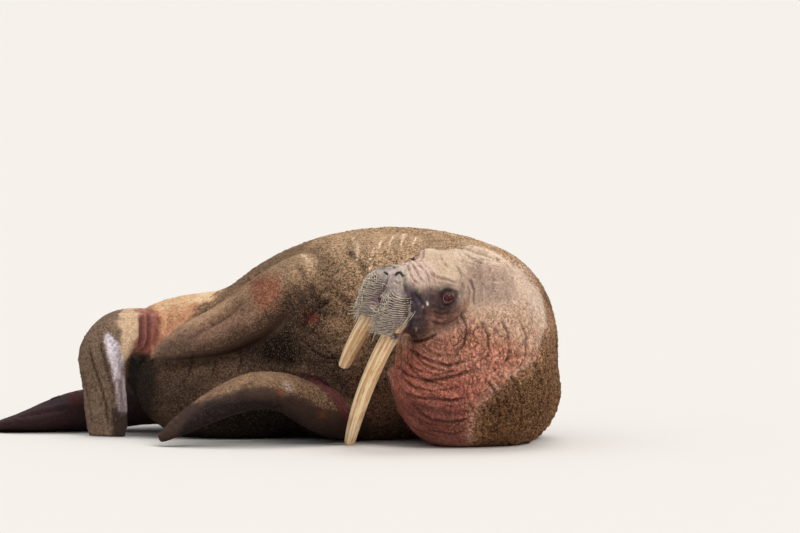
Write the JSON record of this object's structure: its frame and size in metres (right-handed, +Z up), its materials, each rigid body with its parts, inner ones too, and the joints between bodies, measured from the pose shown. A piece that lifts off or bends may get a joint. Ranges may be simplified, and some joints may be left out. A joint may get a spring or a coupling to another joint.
{
  "type": "bull walrus, life-size still model",
  "caption": "Life-size bull walrus lying on its side with its head curled round over its chest, flippers laid back and one tusk on the floor, as a display or set piece.",
  "frame": {"origin": "on the floor, under the middle of the object's box", "axes": "+X from the hind flippers to the shoulders, +Y from the belly to the back, +Z up"},
  "size_m": [2.1888, 1.3286, 0.7962],
  "materials": {
    "head_skin": "grey-brown wrinkled skin of the head, short worn hair",
    "muzzle_skin": "grey whisker pads",
    "neck_skin": "pink-brown wrinkled throat skin",
    "sandy_hide": "wet hide under a matt coat of sand",
    "flipper_skin": "bare dark flipper skin, partly sandy",
    "ivory": "yellowed ivory with lengthwise grooves",
    "eye": "wet dark eye"
  },
  "bodies": {
    "root": {"head": "head_skin", "muzzle": "muzzle_skin", "lower_jaw": "head_skin", "neck": "neck_skin", "chest": "sandy_hide", "belly": "sandy_hide", "hips": "sandy_hide", "tail": "flipper_skin", "foreflipper_right": "flipper_skin", "foreflipper_left": "flipper_skin", "hindflipper_right": "flipper_skin", "hindflipper_left": "flipper_skin", "tusk_right": "ivory", "tusk_left": "ivory", "eye_right": "eye", "eye_left": "eye"}
  },
  "joints": []
}
